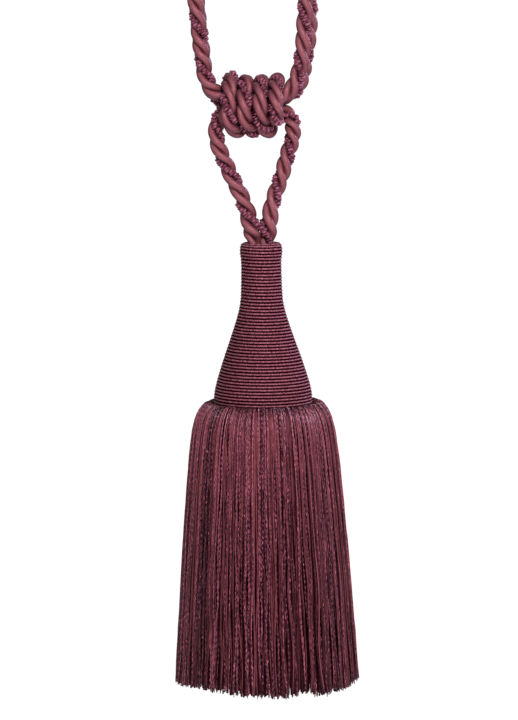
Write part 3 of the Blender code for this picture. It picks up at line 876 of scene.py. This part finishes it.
def hanging_threads(rng, bundles, index, rings, bunching, sway):
    """Centre lines of threads that hang in bundles, given each one's bundle. Returns them with the ways out,
    their places, and how far across its bundle each thread lies."""
    own = np.arange(len(index))
    across = rng.uniform(-1.0, 1.0, len(index))[:, None]
    bundle_angle = bundles.angles[index]
    places = thread_places(rng, bundle_angle, rings, bunching)
    free = smoothstep(*FREE_AT, places)
    low = smoothstep(LOW_FROM, SKIRT_LENGTH, places)
    half = bundles.halves[index][:, None] * (1.0 - bundles.gathers[index][:, None] * free)
    inset = (bundles.insets[index][:, None] + BUNDLE_ROUNDING * across ** 2) * free
    inset = inset + rng.uniform(0.0, THREAD_DEPTH, (len(index), 1))
    depth, radius = skirt_side(places, inset + waves(rng, own, places, *DEPTH_SWAY) * free)
    aside = waves(rng, index, places, *BUNDLE_SWAY) * low
    aside = aside + waves(rng, own, places, sway, *THREAD_WAVES) * free
    angle = bundle_angle[:, None] + across * half + bundles.pulls[index][:, None] * low + aside / radius
    centres, out = about_axis(radius, angle, depth)
    return centres, out, places, across[:, 0]


def thread_tones(rng, bundles, index, places, across, middle, tone_spread):
    """Lighter and darker bundles with a painted shade on their deeper edges, differences between their
    threads, and the painted light and shade down the fringe."""
    tone = middle + BUNDLE_TONE_SPREAD * bundles.tones[index] + rng.normal(0.0, tone_spread, len(index))
    # Painted shade on the edges of each bundle, which lie deeper.
    tone = tone - BUNDLE_EDGE_PAINTED_SHADE * across ** 2
    # Painted light and shade down the fringe, added by place along each thread.
    return np.clip(tone[:, None] + np.interp(places, *zip(*PAINTED_SHADING)), 0.0, 1.0)


def fringe_piece(name, batches, material):
    item = piece(name, batches, (material,), tassel_place())
    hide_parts("skirt")


def build_smooth_fringe(bundles):
    rng = random_draws("fringe_smooth")
    index = np.repeat(np.flatnonzero(~bundles.crimped), SMOOTH_THREADS)
    centres, out, places, across = hanging_threads(rng, bundles, index, SMOOTH_RINGS, SMOOTH_BUNCHING,
                                                   SMOOTH_SWAY)
    radius = SMOOTH_RADIUS * rng.uniform(*SMOOTH_RADII, len(index))[:, None]
    shape = tube_rings(centres, out, radius, THREAD_SIDES, THREAD_START)
    tone = thread_tones(rng, bundles, index, places, across, SMOOTH_TONE, SMOOTH_TONE_SPREAD)
    fringe_piece("fringe_smooth", (Tubes(shape, places, 0, tone, FRINGE_TWIST),), fringe_smooth)


def build_crimped_fringe(name, bundles, chosen):
    rng = random_draws(name)
    index = np.repeat(chosen, CRIMPED_THREADS)
    centres, out, places, across = hanging_threads(rng, bundles, index, CRIMPED_RINGS, CRIMPED_BUNCHING,
                                                   CRIMPED_SWAY)
    aside = np.cross(out, (0.0, 0.0, -1.0))
    swing = np.cumsum(rng.normal(0.0, CRIMP_SWING, places.shape), axis=1)
    size = CRIMP_SIZE * rng.uniform(*CRIMP_SIZES, places.shape) * smoothstep(*CRIMP_FROM, places)
    sign = np.where(np.arange(CRIMPED_RINGS) % 2 == 0, 1.0, -1.0)
    offset = out * np.cos(swing)[..., None] + aside * np.sin(swing)[..., None]
    centres = centres + offset * (sign * size)[..., None]
    bead = sign * np.cos(swing)
    radius = CRIMPED_RADIUS * (1.0 + CRIMP_SWELL * bead)
    shape = tube_rings(centres, out, radius, THREAD_SIDES, THREAD_START)
    tone = thread_tones(rng, bundles, index, places, across, CRIMPED_TONE, CRIMPED_TONE_SPREAD)
    # Painted light on the outward crimps, and painted glints on a few crimps at random.
    tone = tone + CRIMP_PAINTED_LIGHT * bead + PAINTED_GLINT_TONE * (rng.uniform(0.0, 1.0, places.shape) < BRIGHT_CRIMPS)
    fringe_piece(name, (Tubes(shape, places, 0, tone, FRINGE_TWIST),), fringe_crimped)


def build_under_fringe():
    """The layer that shows between the outer yarns, painted dark for the shade it lies in."""
    rng = random_draws("fringe_under")
    angles = spread(rng, UNDER_COUNT)
    places = thread_places(rng, angles, UNDER_RINGS, SMOOTH_BUNCHING)
    free = smoothstep(*FREE_AT, places)
    inset = rng.uniform(*UNDER_INSETS, (UNDER_COUNT, 1)) * (UNDER_TOP_INSET + (1.0 - UNDER_TOP_INSET) * free)
    depth, radius = skirt_side(places, inset)
    aside = waves(rng, np.arange(UNDER_COUNT), places, *UNDER_SWAY) * free
    centres, out = about_axis(radius, angles[:, None] + aside / radius, depth)
    shape = tube_rings(centres, out, UNDER_RADIUS, THREAD_SIDES, THREAD_START)
    tone = rng.uniform(*UNDER_TONES, (UNDER_COUNT, 1))
    fringe_piece("fringe_under", (Tubes(shape, places, 0, tone, FRINGE_TWIST),), fringe_painted_shade)


def build_fringe_middle():
    """The fringe inside the skirt, from the heading's underside, and the heading itself, both painted dark
    for the shade inside the skirt.
    """
    rng = random_draws("fringe_middle")
    share = np.sqrt((np.arange(MIDDLE_COUNT) + 0.5) / MIDDLE_COUNT)
    fall = np.linspace(0.0, 1.0, MIDDLE_RINGS)[None]
    places = np.broadcast_to(fall * (HEM_DEPTH - HEAD_LENGTH), (MIDDLE_COUNT, MIDDLE_RINGS))
    angle = rng.uniform(0.0, TURN, MIDDLE_COUNT)[:, None]
    angle = angle + waves(rng, np.arange(MIDDLE_COUNT), places, *MIDDLE_SWAY)
    root = np.interp(share, (0.0, 1.0), MIDDLE_ROOTS)[:, None]
    end = np.interp(share, (0.0, 1.0), MIDDLE_ENDS)[:, None]
    end = end + rng.uniform(-MIDDLE_STRAY, MIDDLE_STRAY, (MIDDLE_COUNT, 1))
    uneven = rng.normal(0.0, MIDDLE_RAGGED, MIDDLE_COUNT)
    bottom = MIDDLE_BOTTOM + np.clip(uneven, -MIDDLE_RAGGED_LIMIT, MIDDLE_RAGGED_LIMIT)[:, None]
    radius = root + (end - root) * (1.0 - (1.0 - fall) ** MIDDLE_SPREADING)
    down = (bottom - MIDDLE_TOP) * fall
    centres, out = about_axis(radius, angle, MIDDLE_TOP + down)
    shape = tube_rings(centres, out, MIDDLE_RADIUS, THREAD_SIDES)
    threads = Tubes(shape, down, 0, rng.uniform(*MIDDLE_TONES, (MIDDLE_COUNT, 1)), FRINGE_TWIST)
    outline = [(HEADING_TOP, AXIS), (HEADING_TOP, HEADING_RADIUS), (HEADING_BOTTOM, HEADING_RADIUS),
               (HEADING_BOTTOM, AXIS)]
    rings = turned_rings(outline, HEADING_SIDES)
    heading = one_tube(rings, path_lengths(np.array(outline)), 0, HEADING_TONE)
    fringe_piece("fringe_middle", (threads, heading), fringe_painted_shade)


def build_skirt():
    bundles = lay_bundles(random_draws("bundles"), BUNDLE_COUNT)
    build_smooth_fringe(bundles)
    crimped = np.flatnonzero(bundles.crimped)
    build_crimped_fringe("fringe_crimped_a", bundles, crimped[0::2])
    build_crimped_fringe("fringe_crimped_b", bundles, crimped[1::2])
    build_under_fringe()
    build_fringe_middle()


# Studio

def build_world():
    """White to look at. Its light is dimmer, and dimmest from below."""
    world = bpy.data.worlds.new("studio")
    world.use_nodes = True
    nodes = world.node_tree.nodes
    link = world.node_tree.links.new
    seen = nodes["Background"]
    seen.inputs["Color"].default_value = (1.0, 1.0, 1.0, 1.0)
    seen.inputs["Strength"].default_value = SEEN_WHITE
    where = nodes.new("ShaderNodeTexCoord")
    split = nodes.new("ShaderNodeSeparateXYZ")
    link(where.outputs["Generated"], split.inputs["Vector"])
    height = nodes.new("ShaderNodeMapRange")
    height.inputs["From Min"].default_value = -1.0
    height.inputs["To Min"].default_value = FILL_FROM_BELOW
    height.inputs["To Max"].default_value = FILL_FROM_ABOVE
    link(split.outputs["Z"], height.inputs["Value"])
    fill = nodes.new("ShaderNodeBackground")
    link(height.outputs["Result"], fill.inputs["Strength"])
    path = nodes.new("ShaderNodeLightPath")
    mix = nodes.new("ShaderNodeMixShader")
    link(path.outputs["Is Camera Ray"], mix.inputs[0])
    link(fill.outputs["Background"], mix.inputs[1])
    link(seen.outputs["Background"], mix.inputs[2])
    link(mix.outputs["Shader"], nodes["World Output"].inputs["Surface"])
    return world


def aim(item, place, target):
    """Sets an object at a place, looking at the target."""
    item.location = place
    item.rotation_mode = "QUATERNION"
    item.rotation_quaternion = (target - Vector(place)).to_track_quat("-Z", "Y")
    bpy.context.scene.collection.objects.link(item)


def build_studio():
    scene = bpy.context.scene
    scene.view_settings.view_transform = "Standard"
    scene.world = build_world()

    paint = bpy.data.materials.new("floor_paint")
    paint.use_nodes = True
    paint.node_tree.nodes["Principled BSDF"].inputs["Base Color"].default_value = FLOOR_COLOUR
    paint.node_tree.nodes["Principled BSDF"].inputs["Roughness"].default_value = FLOOR_ROUGHNESS
    floor_mesh = bpy.data.meshes.new("floor")
    corners = [(FLOOR_HALF * x, FLOOR_HALF * y, FLOOR_Z) for x, y in ((-1, -1), (1, -1), (1, 1), (-1, 1))]
    floor_mesh.from_pydata(corners, [], [(0, 1, 2, 3)])
    floor_mesh.materials.append(paint)
    floor = bpy.data.objects.new("floor", floor_mesh)
    scene.collection.objects.link(floor)

    target = Vector(VIEW_CENTRE) * MM
    for name, place, size, power, colour in LAMPS:
        light = bpy.data.lights.new(name, "AREA")
        light.size = size
        light.energy = power
        light.color = colour
        aim(bpy.data.objects.new(name, light), place, target)

    elevation = math.radians(VIEW_ELEVATION_DEG)
    camera = bpy.data.objects.new("camera", bpy.data.cameras.new("camera"))
    camera.data.lens = VIEW_LENS
    camera.data.clip_end = VIEW_END
    aim(camera, target + VIEW_DISTANCE * Vector((0.0, -math.cos(elevation), math.sin(elevation))), target)
    scene.camera = camera


build_studio()
build_ropes()
build_head()
build_skirt()

bpy.context.view_layer.update()
